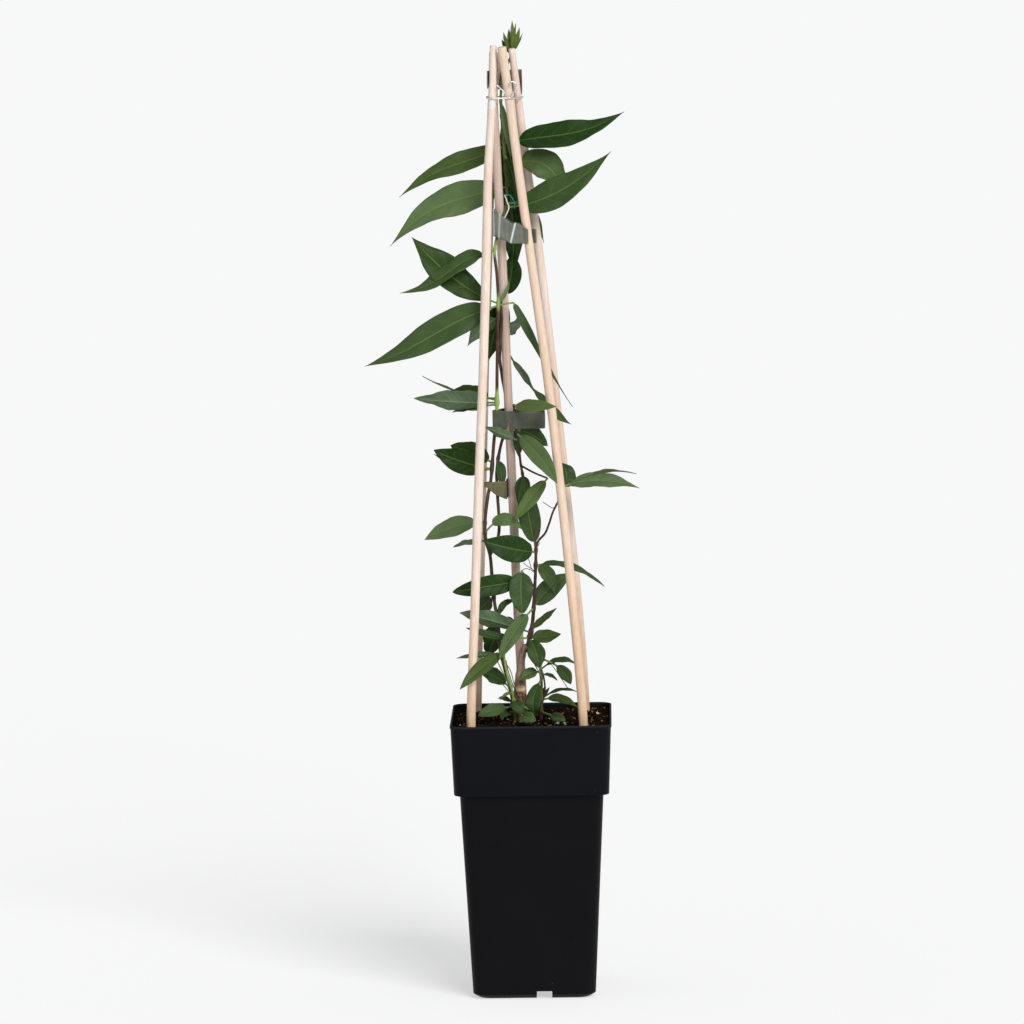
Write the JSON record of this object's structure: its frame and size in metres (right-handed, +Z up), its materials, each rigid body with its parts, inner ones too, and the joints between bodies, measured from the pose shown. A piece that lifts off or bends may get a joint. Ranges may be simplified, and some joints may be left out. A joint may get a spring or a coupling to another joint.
{
  "type": "potted climbing plant",
  "caption": "Young evergreen climber with long pointed leaves, trained up a wigwam of canes tied at the top, standing in a tall tapered square nursery pot of soil",
  "frame": {"origin": "middle of the pot's underside, on the flat floor of the pot, in the plane it stands on", "axes": "+Z up along the height of the plant, +X to the right as seen from the front, +Y away from the front"},
  "size_m": [0.2033, 0.12, 0.726],
  "materials": {
    "pot_plastic": "satin black nursery plastic",
    "soil": "loose dark peat compost",
    "cane": "smooth pale wood",
    "bark": "rough dry bark",
    "foliage": "smooth dark green leaves on thin brown stems",
    "tape": "thin grey green plastic film",
    "wire": "bright thin wire",
    "tie": "plastic coated twist tie"
  },
  "bodies": {
    "root": {"pot": "pot_plastic", "soil": "soil", "cane_front_left": "cane", "cane_front_right": "cane", "cane_back_right": "cane", "cane_back_left": "cane", "cane_centre": "cane", "cut_stump": "bark", "left_vine": "foliage", "right_vine": "foliage", "front_shoot": "foliage", "low_shoot": "foliage", "upper_tape": "tape", "middle_tape": "tape", "lower_tape": "tape", "top_tape": "tape", "wire_tie": "wire", "twist_tie": "tie"}
  },
  "joints": []
}
